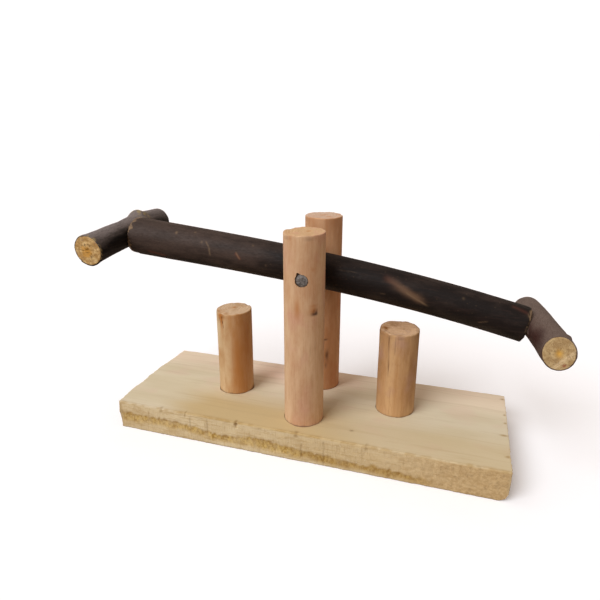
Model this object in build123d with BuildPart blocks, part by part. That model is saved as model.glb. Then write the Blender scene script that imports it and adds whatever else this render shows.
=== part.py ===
"""Small tabletop seesaw: a natural stick on a nail between two posts, on a rough plank.

Millimetres. The origin is the centre of the baseboard's underside, +X runs along the board, +Z is up.
The beam is drawn where it rests, with its right-hand end down.
"""

from build123d import *
import os

# Baseboard
BOARD_LENGTH = 176.4
BOARD_WIDTH = 62.4
BOARD_THICKNESS = 13.7
BOARD_EDGE_BREAK = 0.4
BOARD_END_ROUND = 5.0
LEFT_EDGE_BOW = 1.2

# Upright dowels: (x, y) of the axis, radius, and height above the board
FRONT_POST = {"at": (0.6, -16.8), "radius": 8.6, "height": 84.7}
REAR_POST = {"at": (-0.8, 17.9), "radius": 8.7, "height": 85.7}
LEFT_PEG = {"at": (-40.3, 0.5), "radius": 8.4, "height": 41.4}
RIGHT_PEG = {"at": (38.6, 3.6), "radius": 8.7, "height": 39.8}
DOWELS = [FRONT_POST, REAR_POST, LEFT_PEG, RIGHT_PEG]
DOWEL_TOP_BREAK = 0.3
SOCKET_DEPTH = 6.0
SOCKET_GAP = 0.1

# Beam: its centreline passes through these (x, height above the board) points
BEAM_Y = 0.55
BEAM_LINE = [(-90.6, 74.3), (-50.0, 70.4), (0.0, 64.8), (50.0, 56.9), (88.9, 48.6)]
BEAM_LEFT_RADIUS = 8.85
BEAM_RIGHT_RADIUS = 7.3
BEAM_SECTIONS = 7

# Crossbars: (x, y, height above the board, radius) of the front end, the middle and the rear end
LEFT_CROSSBAR = [(-97.5, -27.2, 71.9, 7.1), (-96.9, 0.55, 75.4, 7.2), (-96.5, 28.3, 76.0, 7.0)]
RIGHT_CROSSBAR = [(97.2, -29.2, 49.9, 5.9), (94.3, 0.55, 47.9, 6.3), (92.0, 30.5, 45.3, 6.0)]
SHAVED_FLAT = 18.0

# Bark, a layer round each natural stick
BARK_THICKNESS = 0.7
BARK_GAP = 0.02

# Pivot nail, across both posts and the beam
PIVOT_X = 1.9
PIVOT_HEIGHT = 66.3
PIVOT_NAIL_LENGTH = 50.0
PIVOT_NAIL_RADIUS = 1.5
PIVOT_HEAD_RADIUS = 2.6
PIVOT_MOUTH_RADIUS = 2.9
PIVOT_HEAD_SINK = 0.3
PIVOT_RUNNING_GAP = 0.08

# Thin nails that hold the crossbars to the beam and the dowels to the board
CROSSBAR_NAIL_LENGTH = 30.0
CROSSBAR_NAIL_RADIUS = 0.9
CROSSBAR_HEAD_RADIUS = 2.0
FOOT_NAIL_LENGTH = 25.0
FOOT_NAIL_RADIUS = 1.1
FOOT_HEAD_RADIUS = 2.4
SMALL_HEAD_SINK = 0.3
HEAD_THICKNESS = 0.9
HEAD_GAP = 0.15
NAIL_GAP = 0.02
TIP_CLEARANCE = 0.5
POINT_TO_SHANK_RATIO = 3.0


def on_board(x, y, height):
    """Point at a height above the board's top face."""
    return Vector(x, y, BOARD_THICKNESS + height)


# Centreline of the beam, and the planes of its two cut ends, each with its normal pointing outwards
with BuildLine() as beam_path:
    Spline([on_board(x, BEAM_Y, height) for x, height in BEAM_LINE])
beam_line = beam_path.line
left_butt = Plane(origin=beam_line @ 0, x_dir=(0, 1, 0), z_dir=-(beam_line % 0))
right_butt = Plane(origin=beam_line @ 1, x_dir=(0, 1, 0), z_dir=beam_line % 1)


def crossbar_head_plane(butt_plane, stations):
    """Plane of a crossbar nail's head, just inside the crossbar's outer side."""
    x, y, height, radius = stations[1]
    middle = (on_board(x, y, height) - butt_plane.origin).dot(butt_plane.z_dir)
    return butt_plane.offset(middle + radius - SMALL_HEAD_SINK)


def foot_head_plane(dowel):
    """Plane of a foot nail's head, just inside the board's underside."""
    x, y = dowel["at"]
    return Plane(origin=(x, y, SMALL_HEAD_SINK), x_dir=(1, 0, 0), z_dir=(0, 0, -1))


# Planes of the other nail heads: every normal points out of the wood, away from the nail's tip
left_head_plane = crossbar_head_plane(left_butt, LEFT_CROSSBAR)
right_head_plane = crossbar_head_plane(right_butt, RIGHT_CROSSBAR)
front_crown = FRONT_POST["at"][1] - FRONT_POST["radius"]
pivot_plane = Plane(
    origin=on_board(PIVOT_X, front_crown + PIVOT_HEAD_SINK, PIVOT_HEIGHT),
    x_dir=(1, 0, 0),
    z_dir=(0, -1, 0),
)


def make_nail(length, shank_radius, head_radius):
    """Round wire nail: the head's outer face is on the XY plane, and the shank runs down to a point."""
    point_length = POINT_TO_SHANK_RATIO * shank_radius
    with BuildPart() as nail:
        with BuildSketch(Plane.XZ):
            with BuildLine():
                Polyline(
                    (0, 0),
                    (head_radius, 0),
                    (head_radius, -HEAD_THICKNESS),
                    (shank_radius, -HEAD_THICKNESS),
                    (shank_radius, point_length - length),
                    (0, -length),
                    close=True,
                )
            make_face()
        revolve(axis=Axis.Z)
    return nail.part


def nail_hole(length, shank_radius, mouth_radius):
    """Snug hole for a nail whose head plane is the current location, with a wider mouth for its head."""
    CounterBoreHole(
        radius=shank_radius + NAIL_GAP,
        counter_bore_radius=mouth_radius,
        counter_bore_depth=HEAD_THICKNESS + NAIL_GAP,
        depth=length + TIP_CLEARANCE,
    )


def pivot_nail_hole():
    """Tight hole of the pivot nail in a post, with a loose mouth round its head."""
    with Locations(pivot_plane):
        nail_hole(PIVOT_NAIL_LENGTH, PIVOT_NAIL_RADIUS, PIVOT_MOUTH_RADIUS)


def pivot_bore():
    """Loose bore of the beam, which swings on the pivot nail."""
    with Locations(pivot_plane):
        Hole(radius=PIVOT_NAIL_RADIUS + PIVOT_RUNNING_GAP)


def crossbar_nail_hole(head_plane):
    """Hole of a crossbar nail, in the crossbar or in the end of the beam behind it."""
    with Locations(head_plane):
        nail_hole(CROSSBAR_NAIL_LENGTH, CROSSBAR_NAIL_RADIUS, CROSSBAR_HEAD_RADIUS + HEAD_GAP)


def foot_nail_holes(*dowels):
    """Holes of the foot nails of these dowels, in the board or in the dowels themselves."""
    with Locations(*[foot_head_plane(dowel) for dowel in dowels]):
        nail_hole(FOOT_NAIL_LENGTH, FOOT_NAIL_RADIUS, FOOT_HEAD_RADIUS + HEAD_GAP)


def dowel_section(dowel, gap=0.0):
    """Round section of a dowel at the bottom of its socket, with an optional gap round it."""
    x, y = dowel["at"]
    with BuildSketch(Plane(origin=on_board(x, y, -SOCKET_DEPTH))) as section:
        Circle(dowel["radius"] + gap)
    return section.sketch


def upright(dowel):
    """A dowel from the bottom of its socket to its top, with the top edge just broken."""
    extrude(dowel_section(dowel), amount=SOCKET_DEPTH + dowel["height"])
    chamfer(edges().group_by(Axis.Z)[-1], length=DOWEL_TOP_BREAK)
    foot_nail_holes(dowel)


def beam_sections(inset):
    """Round sections square to the arched beam, its radius smaller by the inset."""
    sections = []
    for i in range(BEAM_SECTIONS):
        fraction = i / (BEAM_SECTIONS - 1)
        radius = BEAM_LEFT_RADIUS + (BEAM_RIGHT_RADIUS - BEAM_LEFT_RADIUS) * fraction
        square = Plane(origin=beam_line @ fraction, x_dir=(0, 1, 0), z_dir=beam_line % fraction)
        with BuildSketch(square) as section:
            Circle(radius - inset)
        sections.append(section.sketch)
    return sections


def crossbar_sections(stations, inset):
    """Round sections of a crossbar, each square to the line between its ends."""
    run = on_board(*stations[-1][:3]) - on_board(*stations[0][:3])
    sections = []
    for x, y, height, radius in stations:
        with BuildSketch(Plane(origin=on_board(x, y, height), x_dir=(0, 0, 1), z_dir=run)) as section:
            Circle(radius - inset)
        sections.append(section.sketch)
    return sections


def shave_flat(butt_plane):
    """Cuts the flat on a crossbar that the beam's end butts against."""
    with BuildSketch(butt_plane) as flat:
        Rectangle(SHAVED_FLAT, SHAVED_FLAT)
    extrude(flat.sketch, amount=-SHAVED_FLAT, mode=Mode.SUBTRACT)


def crossbar_core_body(stations, butt_plane, head_plane):
    """The wood of a crossbar, shaved flat for the beam and drilled for its nail."""
    loft(crossbar_sections(stations, BARK_THICKNESS + BARK_GAP))
    shave_flat(butt_plane)
    crossbar_nail_hole(head_plane)


def crossbar_bark_body(stations, butt_plane, head_plane):
    """The bark of a crossbar, open at the cut ends, at the shaved flat and at the nail's head."""
    loft(crossbar_sections(stations, 0))
    loft(crossbar_sections(stations, BARK_THICKNESS), mode=Mode.SUBTRACT)
    shave_flat(butt_plane)
    crossbar_nail_hole(head_plane)


# Baseboard: its left-hand end is cut a little bowed, and the lower edge of the other end is worn round
with BuildPart() as baseboard:
    with BuildSketch():
        with BuildLine():
            right = BOARD_LENGTH / 2
            back = BOARD_WIDTH / 2
            Polyline((-right, -back), (right, -back), (right, back), (-right, back))
            ThreePointArc((-right, back), (-right - LEFT_EDGE_BOW, 0), (-right, -back))
        make_face()
    extrude(amount=BOARD_THICKNESS)
    fillet(edges().filter_by(Axis.Y).group_by(Axis.X)[-1].sort_by(Axis.Z)[0], radius=BOARD_END_ROUND)
    chamfer(faces().sort_by(Axis.Z)[-1].edges(), length=BOARD_EDGE_BREAK)
    for dowel in DOWELS:
        extrude(dowel_section(dowel, gap=SOCKET_GAP), amount=SOCKET_DEPTH, mode=Mode.SUBTRACT)
    foot_nail_holes(*DOWELS)

# Two posts that the pivot nail crosses
with BuildPart() as front_post:
    upright(FRONT_POST)
    pivot_nail_hole()

with BuildPart() as rear_post:
    upright(REAR_POST)
    pivot_nail_hole()

# Two pegs that stop the beam
with BuildPart() as left_peg:
    upright(LEFT_PEG)

with BuildPart() as right_peg:
    upright(RIGHT_PEG)

# Beam: the wood, and the bark round it, open at both cut ends
with BuildPart() as beam_core:
    loft(beam_sections(BARK_THICKNESS + BARK_GAP))
    pivot_bore()
    crossbar_nail_hole(left_head_plane)
    crossbar_nail_hole(right_head_plane)

with BuildPart() as beam_bark:
    loft(beam_sections(0))
    loft(beam_sections(BARK_THICKNESS), mode=Mode.SUBTRACT)
    pivot_bore()

# Crossbars: the wood and the bark of each
with BuildPart() as left_crossbar_core:
    crossbar_core_body(LEFT_CROSSBAR, left_butt, left_head_plane)

with BuildPart() as left_crossbar_bark:
    crossbar_bark_body(LEFT_CROSSBAR, left_butt, left_head_plane)

with BuildPart() as right_crossbar_core:
    crossbar_core_body(RIGHT_CROSSBAR, right_butt, right_head_plane)

with BuildPart() as right_crossbar_bark:
    crossbar_bark_body(RIGHT_CROSSBAR, right_butt, right_head_plane)

# Nails
pivot_nail_blank = make_nail(PIVOT_NAIL_LENGTH, PIVOT_NAIL_RADIUS, PIVOT_HEAD_RADIUS)
with BuildPart() as pivot_nail:
    with Locations(pivot_plane):
        add(pivot_nail_blank)

crossbar_nail_blank = make_nail(CROSSBAR_NAIL_LENGTH, CROSSBAR_NAIL_RADIUS, CROSSBAR_HEAD_RADIUS)
with BuildPart() as crossbar_nails:
    with Locations(left_head_plane, right_head_plane):
        add(crossbar_nail_blank)

foot_nail_blank = make_nail(FOOT_NAIL_LENGTH, FOOT_NAIL_RADIUS, FOOT_HEAD_RADIUS)
with BuildPart() as foot_nails:
    with Locations(*[foot_head_plane(dowel) for dowel in DOWELS]):
        add(foot_nail_blank)

# One labelled STEP file for each node
PIECES = {
    "baseboard": baseboard,
    "front_post": front_post,
    "rear_post": rear_post,
    "left_peg": left_peg,
    "right_peg": right_peg,
    "beam_core": beam_core,
    "beam_bark": beam_bark,
    "left_crossbar_core": left_crossbar_core,
    "left_crossbar_bark": left_crossbar_bark,
    "right_crossbar_core": right_crossbar_core,
    "right_crossbar_bark": right_crossbar_bark,
    "pivot_nail": pivot_nail,
    "crossbar_nails": crossbar_nails,
    "foot_nails": foot_nails,
}
os.makedirs("parts", exist_ok=True)
for node, piece in PIECES.items():
    piece.part.label = node
    export_step(piece.part, f"parts/{node}.step")
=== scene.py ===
"""Looks of a small tabletop seesaw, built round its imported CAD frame.

Shapes are worked out in millimetres in the frame's own axes, and become metres when a mesh is made.
A place on a stick or dowel is (its value on the axis the stick follows, its angle round the stick in
degrees). In the noise of a shape or a paint, the whole number after the size is the seed.
"""

import math

import bpy
import numpy as np
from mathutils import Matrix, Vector
from mathutils.bvhtree import BVHTree


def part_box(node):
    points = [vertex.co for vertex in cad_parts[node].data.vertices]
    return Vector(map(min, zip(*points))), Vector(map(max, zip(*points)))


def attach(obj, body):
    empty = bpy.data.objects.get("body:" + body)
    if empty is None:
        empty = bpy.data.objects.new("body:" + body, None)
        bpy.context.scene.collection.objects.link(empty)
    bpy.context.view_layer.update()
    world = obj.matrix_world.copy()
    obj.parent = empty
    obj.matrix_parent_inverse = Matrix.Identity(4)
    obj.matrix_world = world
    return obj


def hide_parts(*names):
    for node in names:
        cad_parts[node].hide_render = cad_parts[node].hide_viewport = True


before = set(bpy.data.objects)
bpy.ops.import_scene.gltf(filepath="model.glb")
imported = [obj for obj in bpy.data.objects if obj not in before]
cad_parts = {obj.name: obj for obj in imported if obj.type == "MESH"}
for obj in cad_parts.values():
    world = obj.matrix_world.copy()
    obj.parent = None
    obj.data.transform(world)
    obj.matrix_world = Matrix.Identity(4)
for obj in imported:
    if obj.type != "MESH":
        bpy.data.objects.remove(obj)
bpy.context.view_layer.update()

MM = 0.001
RIGHT = np.array([1.0, 0.0, 0.0])
BACK = np.array([0.0, 1.0, 0.0])
UP = np.array([0.0, 0.0, 1.0])

# Spacing of mesh points, roundness of cut edges, and the bend that counts as a sharp edge
STICK_STEP = 0.42
DOWEL_SIDE_STEP = 1.15 * STICK_STEP
HIDDEN_STEP = 1.5
BOARD_STEP = 0.62
BOARD_EDGE_STEP = 0.15
CUT_EDGE = 0.3
SHARP_BEND = math.radians(50)
# How far from a cut end its slant and roughness still move the mesh
END_REACH = 5.0

# Gaps round a nail's shank and round its head, and the radius of the bore the beam turns on
NAIL_GAP = 0.02
HEAD_GAP = 0.15
PIVOT_HEAD_GAP = 0.1
BEAM_NAIL_GAPS = (0.03, 0.2)
BAR_NAIL_GAPS = (0.04, 0.15)
BORE_RADIUS = 1.58
# Gap between a natural stick's wood and its bark, and the radius at which a bark rim's noise is read
BARK_GAP = 0.02
RIM_NOISE_RADIUS = 3

# Camera
CAMERA_AZIMUTH = 17.9
CAMERA_ELEVATION = 18.6
CAMERA_DISTANCE = 233.4
CAMERA_LENS = 30.84
CAMERA_AIM = np.array([-6.3, -1.2, 63.6])

# Light: each sun is (azimuth, elevation, spread, strength)
KEY_SUN = (-31.0, 43.0, 38.0, 2.4)
SIDE_SUN = (-90.0, 50.0, 30.0, 0.2)
SUN_COLOUR = (0.95, 1.0, 1.06)
SKY_STRENGTH = 0.51
SEEN_SKY_STRENGTH = 1.5
SKY_TINT = (1.0, 0.84, 0.72, 1.0)
FLOOR_BOUNCE = [0.26, 0.20, 0.16, 1.0]
FLOOR_GLOW = 0.12
FLOOR_REACH = 30000.0


# ---------------- repeatable noise

def lattice(cell, seed):
    """Repeatable number from -1 to 1 for each whole-number lattice point."""
    mixed = (cell[..., 0] * 73856093) ^ (cell[..., 1] * 19349663) ^ (cell[..., 2] * 83492791)
    mixed = ((mixed + seed * 668265263) & 0xFFFFFFFF) * 1274126177 & 0xFFFFFFFF
    mixed = (mixed ^ (mixed >> 15)) * 2246822519 & 0xFFFFFFFF
    return (mixed ^ (mixed >> 13)) / 0x7FFFFFFF - 1.0


def noise(points, size, seed):
    """Smooth noise from -1 to 1. size is the width of its blobs, or their widths in three directions."""
    at = points / np.asarray(size, float)
    low = np.floor(at).astype(np.int64)
    blend = at - low
    blend = blend * blend * (3 - 2 * blend)
    total = np.zeros(points.shape[:-1])
    for corner in np.ndindex(2, 2, 2):
        weight = np.prod(np.where(corner, blend, 1 - blend), axis=-1)
        total += weight * lattice(low + np.array(corner), seed)
    return total


def rough(points, size, seed, octaves=3):
    """Noise with finer and weaker copies of itself added."""
    total = 0
    for k in range(octaves):
        total = total + noise(points, np.asarray(size, float) / 2**k, seed + 31 * k) / 2**k
    return total


def smooth(low, high, value):
    """0 below low, 1 above high, and a soft step between."""
    t = np.clip((value - low) / (high - low), 0, 1)
    return t * t * (3 - 2 * t)


def bell(value, width):
    """1 where value is 0, falling to almost nothing at twice the width."""
    return np.exp(-((value / width) ** 2))


def blot(x, y, centre, size):
    """1 at a centre in a plane, fading round it."""
    return np.exp(-(((x - centre[0]) / size[0]) ** 2) - ((y - centre[1]) / size[1]) ** 2)


def most(*values):
    """The greatest of several numbers at each place."""
    return np.maximum.reduce(values)


def disc(angle, out, distance=0.0):
    """Coordinates for noise on a round piece: two across it and one along it."""
    return np.stack([out * np.cos(angle), out * np.sin(angle), distance + 0 * angle], axis=-1)


def turn_from(angle, middle):
    """Degrees round a stick from a direction, -180 to 180."""
    return (np.degrees(angle) - middle + 180) % 360 - 180


def unit(vector):
    return vector / np.linalg.norm(vector, axis=-1, keepdims=True)


# ---------------- sticks and nails read from the frame

def corners(node):
    """Lowest and highest corner of a CAD node, in millimetres."""
    low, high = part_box(node)
    return np.array(low) / MM, np.array(high) / MM


def surface(node):
    """Search tree over a CAD node's mesh, in millimetres."""
    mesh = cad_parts[node].data
    points = [vertex.co / MM for vertex in mesh.vertices]
    return BVHTree.FromPolygons(points, [tuple(face.vertices) for face in mesh.polygons])


def first_hit(tree, start, towards):
    """Where a straight line from start first meets the surface."""
    return np.array(tree.ray_cast(Vector(start), Vector(towards))[0])


class Stick:
    """A round stick whose centreline and radius are polynomials of one row axis, from ends[0] to ends[1].

    Its cut ends are square to squares. Angle 0 is towards side, and angles turn by the right-hand rule.
    """

    def __init__(self, centre_fits, radius_fit, ends, squares, side):
        self.centre_fits = centre_fits
        self.radius_fit = radius_fit
        self.ends = ends
        self.squares = squares
        self.side = side
        self.length = 1.0
        self.start, finish = self.centre(np.array([0.0, 1.0]))
        self.length = np.linalg.norm(finish - self.start)
        self.run = unit(finish - self.start)

    def row(self, distance):
        """Value on the row axis at a distance along the stick."""
        return self.ends[0] + (self.ends[1] - self.ends[0]) * distance / self.length

    def centre(self, distance):
        row = self.row(distance)
        return np.stack([np.polyval(fit, row) for fit in self.centre_fits], axis=-1)

    def radius(self, distance):
        return np.polyval(self.radius_fit, self.row(distance))

    def directions(self, distance):
        """Along the stick, towards angle 0 and towards a quarter turn, at each distance."""
        share = (np.asarray(distance) / self.length)[..., None]
        along = unit(self.squares[0] * (1 - share) + self.squares[1] * share)
        zero = unit(self.side - (along @ self.side)[..., None] * along)
        return along, zero, np.cross(along, zero)

    def point(self, distance, angle, radius, lift):
        along, zero, quarter = self.directions(distance)
        spoke = np.cos(angle)[..., None] * zero + np.sin(angle)[..., None] * quarter
        return self.centre(distance) + radius[..., None] * spoke + lift[..., None] * along

    def locate(self, points):
        """The Places of any points, and their distance from the centreline."""
        distance = (points - self.start) @ self.run
        for _ in range(2):
            along = self.directions(distance)[0]
            distance = distance + np.sum((points - self.centre(distance)) * along, axis=-1)
        _, zero, quarter = self.directions(distance)
        out = points - self.centre(distance)
        right, up = np.sum(out * zero, axis=-1), np.sum(out * quarter, axis=-1)
        return Places(self, distance, np.arctan2(up, right)), np.hypot(right, up)

    def near_ends(self, distance, low, high):
        """1 within low of either end, and 0 beyond high."""
        return most(smooth(high, low, distance), smooth(high, low, self.length - distance))


class Places:
    """Places on a stick's surface, with the noise and the marks found there."""

    def __init__(self, stick, distance, angle):
        self.stick = stick
        self.distance = distance
        self.angle = angle
        self.row = stick.row(distance)
        self.flat = disc(angle, stick.radius(distance), distance)

    def noise(self, size, seed):
        return noise(self.flat, size, seed)

    def rough(self, size, seed, octaves=3):
        return rough(self.flat, size, seed, octaves)

    def turn(self, middle):
        return turn_from(self.angle, middle)

    def offset(self, place):
        """How far each is from a place, along the stick and round it."""
        turn = (self.angle - math.radians(place[1]) + math.pi) % (2 * math.pi) - math.pi
        return self.row - place[0], turn * np.polyval(self.stick.radius_fit, place[0])

    def spot(self, place, size):
        """1 at a place, fading round it."""
        return blot(*self.offset(place), (0, 0), size)

    def spots(self, marks):
        """Sum of round marks, each (place, size, amount)."""
        return sum(amount * self.spot(place, size) for place, size, amount in marks) + 0 * self.angle

    def line(self, first, last, width):
        """1 on a straight line between two places, thinning at its ends."""
        along, across = self.offset(first)
        down = last[0] - first[0]
        over = math.radians(last[1] - first[1]) * np.polyval(self.stick.radius_fit, first[0])
        share = (along * down + across * over) / (over**2 + down**2)
        beside = np.hypot(along - share * down, across - share * over)
        return bell(beside, width) * smooth(-0.08, 0.12, share) * smooth(1.08, 0.75, share)

    def lines(self, marks):
        """Each straight mark of a list of (first, last, width, amount), and an empty one."""
        return [amount * self.line(*ends) for *ends, amount in marks] + [0 * self.angle]


def read_dowel(node):
    """The Stick of an upright CAD dowel."""
    low, high = corners(node)
    middle = (low + high) / 2
    fits = ([middle[0]], [middle[1]], [1.0, 0.0])
    return Stick(fits, [(high[0] - low[0]) / 2], (low[2], high[2]), (UP, UP), RIGHT)


def read_natural_stick(name, axis, degree, skip, square_to_run):
    """The Stick of a CAD stick with bark, and how deep its wood lies under its bark.

    axis is the row axis it mostly follows, and skip is a stretch of it with holes or a flat.
    """
    bark, core = surface(f"{name}_bark"), surface(f"{name}_core")
    low, high = corners(f"{name}_bark")
    reach = 3 * np.max(high - low)
    centre = (low + high) / 2
    rows = []
    stations = np.linspace(low[axis] + 5, high[axis] - 5, 41)
    for station in stations[(stations < skip[0]) | (stations > skip[1])]:
        centre[axis] = station
        widths = {}
        for k in (2, 1 - axis, 2, 1 - axis):
            way = np.eye(3)[k]
            top = first_hit(bark, centre + way * reach, -way)[k]
            bottom = first_hit(bark, centre - way * reach, way)[k]
            centre[k] = (top + bottom) / 2
            widths[k] = (top - bottom) / 2
        rows.append([*centre, min(widths.values())])
    rows = np.array(rows)
    fits = [np.polyfit(rows[:, axis], rows[:, k], degree) for k in range(3)]
    radius_fit = np.polyfit(rows[:, axis], rows[:, 3], degree)
    run = unit(rows[-1, :3] - rows[0, :3])
    ends, squares = [], []
    for row, outwards in ((rows[0], -1), (rows[-1], 1)):
        slope = unit(np.array([np.polyval(np.polyder(fit), row[axis]) for fit in fits]))
        square = run if square_to_run else slope
        beside = unit(UP - (square @ UP) * square) * row[3] / 2
        hit = first_hit(core, row[:3] + beside + square * outwards * reach, -square * outwards)
        ends.append((hit - beside)[axis])
        squares.append(square)
    middle = np.array([np.polyval(fit, skip[0]) for fit in fits])
    way = unit(np.cross(run, UP))
    layers = [first_hit(tree, middle + way * reach, -way) for tree in (bark, core)]
    return Stick(fits, radius_fit, ends, squares, UP), np.linalg.norm(layers[0] - layers[1])


class Nail:
    """A CAD nail, read from a point far out in front of its head, looking along it."""

    REACH = 60.0

    def __init__(self, node, outside, along):
        tree = surface(node)
        self.along = unit(np.array(along, float))
        aside = unit(np.cross(self.along, [0.0, 0.6, 0.8]))
        self.head = first_hit(tree, outside, self.along)
        tip = first_hit(tree, self.head + self.along * self.REACH, -self.along)
        self.length = np.linalg.norm(tip - self.head)
        radii = []
        for depth in (CUT_EDGE, self.length / 2):
            middle = self.head + self.along * depth
            radii.append(np.linalg.norm(first_hit(tree, middle + aside * 20, -aside) - middle))
        self.head_radius, self.shank_radius = radii
        behind = self.head + self.along * self.length + aside * (sum(radii) / 2)
        to_head = np.linalg.norm(first_hit(tree, behind, -self.along) - behind)
        self.head_thickness = self.length - to_head

    def hole(self, gap=NAIL_GAP, head_gap=HEAD_GAP, run_out=2.0, wobble=None):
        """Shape of the hole this nail was driven into, starting run_out in front of its head."""
        floor = self.head_thickness + 0.02
        mouth = self.head_radius + head_gap
        shank = self.shank_radius + gap
        profile = [(-run_out, mouth), (floor, mouth), (floor, shank), (self.length + 0.5, shank)]
        return turned(self.head, self.along, profile, wobble=wobble)


# ---------------- meshes

def loops(rings, around, closed):
    """Quads between rings of points, each ring a closed loop. closed joins the last ring to the first."""
    here = np.arange(around)
    ahead = (here + 1) % around
    count = rings if closed else rings - 1
    first = np.arange(count)[:, None] * around
    second = ((np.arange(count) + 1) % rings)[:, None] * around
    quads = [first + here, first + ahead, second + ahead, second + here]
    return np.stack(quads, -1).reshape(-1, 4).tolist()


def caps(rings, around):
    """Triangles that close the first and the last ring on two centre points that follow the rings."""
    here = np.arange(around)
    ahead = (here + 1) % around
    last = (rings - 1) * around
    first_centre = np.full(around, rings * around)
    start = np.stack([first_centre, ahead, here], -1)
    finish = np.stack([first_centre + 1, last + here, last + ahead], -1)
    return start.tolist() + finish.tolist()


def make_object(name, points, faces):
    mesh = bpy.data.meshes.new(name)
    mesh.from_pydata((points * MM).tolist(), [], faces)
    made = bpy.data.objects.new(name, mesh)
    bpy.context.scene.collection.objects.link(made)
    return made


def points_of(made):
    """The vertices of an object at the origin, in millimetres."""
    flat = np.zeros(len(made.data.vertices) * 3)
    made.data.vertices.foreach_get("co", flat)
    return flat.reshape(-1, 3) / MM


def paint(made, **paints):
    """Stores numbers from 0 to 1 on each vertex, for the material to read by name."""
    for name, values in paints.items():
        attribute = made.data.attributes.new(name, "FLOAT", "POINT")
        attribute.data.foreach_set("value", np.clip(values, 0, 1).astype(np.float32))


def turned(start, along, profile, around=48, wobble=None):
    """Points and faces of a solid turned on a lathe. profile is (distance, radius) from start to finish.

    wobble(ring, angle) is added to the radius of each ring.
    """
    along = unit(np.array(along, float))
    zero = unit(np.cross(along, [0.0, 0.6, 0.8]))
    quarter = np.cross(along, zero)
    angle = np.arange(around) * 2 * math.pi / around
    spoke = np.cos(angle)[:, None] * zero + np.sin(angle)[:, None] * quarter
    rings = []
    for k, (distance, radius) in enumerate(profile):
        out = radius + (wobble(k, angle) if wobble else 0 * angle)
        rings.append(start + distance * along + out[:, None] * spoke)
    centres = [start + distance * along for distance in (profile[0][0], profile[-1][0])]
    points = np.concatenate(rings + [np.array(centres)])
    return points, loops(len(profile), around, False) + caps(len(profile), around)


def slab(face_centre, along, depth, half_width):
    """Points and faces of a square block that grows from the centre of its face along a direction."""
    zero = unit(np.cross(along, BACK))
    quarter = np.cross(along, zero)
    points = []
    for distance in (0.0, depth):
        for a, b in ((-1, -1), (1, -1), (1, 1), (-1, 1)):
            points.append(face_centre + along * distance + (zero * a + quarter * b) * half_width)
    faces = [[3, 2, 1, 0], [4, 5, 6, 7]]
    faces += [[k, (k + 1) % 4, (k + 1) % 4 + 4, k + 4] for k in range(4)]
    return np.array(points), faces


def cut(made, *shapes):
    """Takes separate shapes, each (points, faces), out of an object."""
    points, faces = [], []
    for shape_points, shape_faces in shapes:
        begin = sum(len(block) for block in points)
        points.append(shape_points)
        faces += [[begin + k for k in face] for face in shape_faces]
    cutter = make_object("cutter", np.concatenate(points), faces)
    modifier = made.modifiers.new("cut", "BOOLEAN")
    modifier.operation = "DIFFERENCE"
    modifier.solver = "EXACT"
    modifier.object = cutter
    bpy.context.view_layer.update()
    graph = bpy.context.evaluated_depsgraph_get()
    old = made.data
    made.data = bpy.data.meshes.new_from_object(made.evaluated_get(graph))
    made.modifiers.clear()
    bpy.data.meshes.remove(old)
    bpy.data.objects.remove(cutter)


def finish_piece(made, body, slot, material, *nodes):
    """Puts a finished piece on its body, in the place of these CAD nodes. The slot is not used."""
    made.data.shade_smooth()
    made.data.set_sharp_from_angle(angle=SHARP_BEND)
    made.data.materials.clear()
    made.data.materials.append(material)
    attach(made, body)
    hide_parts(*nodes)


def ring_grid(stick, depth, step, distances):
    """The Places of rings round a stick at some distances, and how many points each ring has."""
    radius = float(stick.radius(stick.length / 2)) - depth
    around = 8 * round(2 * math.pi * radius / step / 8)
    angle = np.arange(around) * 2 * math.pi / around
    return Places(stick, *np.meshgrid(distances, angle, indexing="ij")), around


def ring_points(at, out, lift_of):
    """Points of rings that lie out from the centreline, with both ends of the stick lifted by lift_of."""
    start, finish = [lift_of(end, at.angle, out) for end in (0, 1)]
    far = at.stick.length - at.distance
    lift = start * smooth(END_REACH, 0, at.distance) + finish * smooth(END_REACH, 0, far)
    return at.stick.point(at.distance, at.angle, out, lift).reshape(-1, 3)


def log(name, stick, side_step, depth, radius_of, lift_of):
    """Solid round piece with two cut ends, lying depth under the stick's surface.

    radius_of(places) adds to its radius. lift_of(end, angle, out) raises its cut ends along the stick,
    where end is 0 or 1 and out is the distance from the centre.
    """
    length = stick.length
    step = STICK_STEP
    radius = float(stick.radius(length / 2)) - depth
    turns = np.linspace(math.pi / 2, 0, 4)
    shares = np.linspace(0, 1, int(radius / step))[1:]
    start = [(0.0, CUT_EDGE, share) for share in shares[:-1]]
    start += [(CUT_EDGE * (1 - math.sin(turn)), CUT_EDGE * (1 - math.cos(turn)), 1.0) for turn in turns]
    near = np.arange(CUT_EDGE, 6.0, step)[1:]
    far = np.linspace(6.0, length - 6.0, int((length - 12.0) / side_step))
    side = [(distance, 0.0, 1.0) for distance in np.concatenate([near, far, length - near[::-1]])]
    finish = [(length - distance, inset, share) for distance, inset, share in reversed(start)]
    rows = np.array(start + side + finish)
    at, around = ring_grid(stick, depth, step, rows[:, 0])
    inset, share = rows[:, 1, None], rows[:, 2, None]
    out = share * (stick.radius(at.distance) - depth - inset + radius_of(at))
    zero = np.zeros(1)
    tips = [stick.point(zero + end * length, zero, zero, lift_of(end, zero, zero)) for end in (0, 1)]
    points = np.concatenate([ring_points(at, out, lift_of)] + tips)
    return make_object(name, points, loops(len(rows), around, False) + caps(len(rows), around))


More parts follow.
